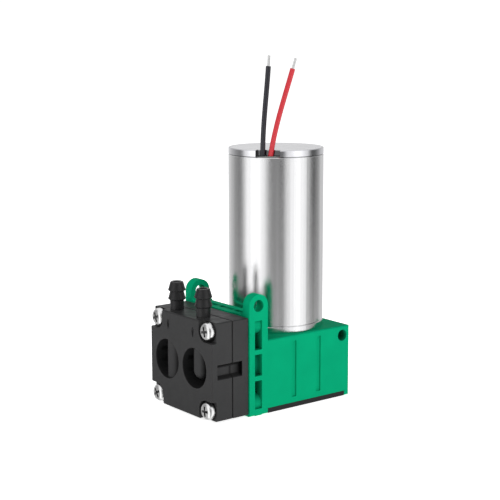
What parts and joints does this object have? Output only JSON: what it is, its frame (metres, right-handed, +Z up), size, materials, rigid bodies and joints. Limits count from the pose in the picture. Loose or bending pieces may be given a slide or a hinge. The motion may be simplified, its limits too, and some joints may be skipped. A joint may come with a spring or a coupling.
{
  "type": "diaphragm air pump",
  "caption": "Miniature diaphragm air pump with an upright steel motor, green crankcase with ears, black head with hose barbs and two leads.",
  "frame": {"origin": "where the motor's axis meets the base plane", "axes": "+Z up along the motor's axis, -Y towards the face of the pump head, +X to the right seen from the head"},
  "size_m": [0.031, 0.0508, 0.101],
  "materials": {
    "green_plastic": "satin moulded",
    "black_plastic": "satin moulded",
    "card_plastic": "matt",
    "motor_steel": "polished",
    "screw_steel": "bright plated",
    "plain_steel": "ground",
    "tinned_wire": "tinned",
    "brass": "turned",
    "bronze": "sintered",
    "copper": "enamelled",
    "ferrite": "matt",
    "carbon": "matt",
    "rubber": "matt",
    "white_plastic": "satin moulded",
    "lead_black": "satin",
    "lead_red": "satin"
  },
  "bodies": {
    "pump_body": {"crankcase": "green_plastic", "base_cover": "black_plastic", "base_cover_screws": "screw_steel", "valve_body": "black_plastic", "head_gasket": "rubber", "head_cover": "black_plastic", "head_screws": "screw_steel", "diaphragm": "rubber", "motor_can": "motor_steel", "motor_front_cap": "motor_steel", "motor_rear_cap": "motor_steel", "motor_screws": "screw_steel", "front_bush": "bronze", "rear_bush": "bronze", "magnets": "ferrite", "brush_card": "card_plastic", "brushes": "carbon", "lead_black": "lead_black", "lead_red": "lead_red", "lead_tips": "tinned_wire"},
    "rotor": {"motor_shaft": "plain_steel", "rotor_core": "plain_steel", "rotor_winding": "copper", "commutator": "copper", "eccentric": "brass", "eccentric_set_screw": "screw_steel", "crank_bearing_inner": "plain_steel"},
    "bearing_cage": {"crank_bearing_balls": "plain_steel", "crank_bearing_cage": "brass"},
    "rod": {"connecting_rod": "white_plastic", "crank_bearing_outer": "plain_steel", "retaining_plate": "plain_steel", "retaining_screw": "screw_steel"},
    "inlet_disc": {"inlet_valve": "rubber"},
    "outlet_disc": {"outlet_valve": "rubber"}
  },
  "joints": [
    {"name": "shaft_spin", "type": "hinge", "parent": "pump_body", "child": "rotor", "pos_m": [0, 0, 0.01465], "axis": [0, 0, 1], "continuous": true, "deforming": ["diaphragm"]},
    {"name": "rod_follow", "type": "hinge", "parent": "rotor", "child": "rod", "pos_m": [0, 0.001, 0.01465], "axis": [0, 0, 1], "continuous": true},
    {"name": "cage_orbit", "type": "hinge", "parent": "rotor", "child": "bearing_cage", "pos_m": [0, 0.001, 0.01465], "axis": [0, 0, 1], "continuous": true},
    {"name": "inlet_lift", "type": "slide", "parent": "pump_body", "child": "inlet_disc", "axis": [0, 1, 0], "range_m": [0, 0.0005]},
    {"name": "outlet_lift", "type": "slide", "parent": "pump_body", "child": "outlet_disc", "axis": [0, -1, 0], "range_m": [0, 0.0005]}
  ],
  "couplings": [
    {"joint": "rod_follow", "follows": "shaft_spin", "ratio": -1},
    {"joint": "cage_orbit", "follows": "shaft_spin", "ratio": -0.62}
  ]
}
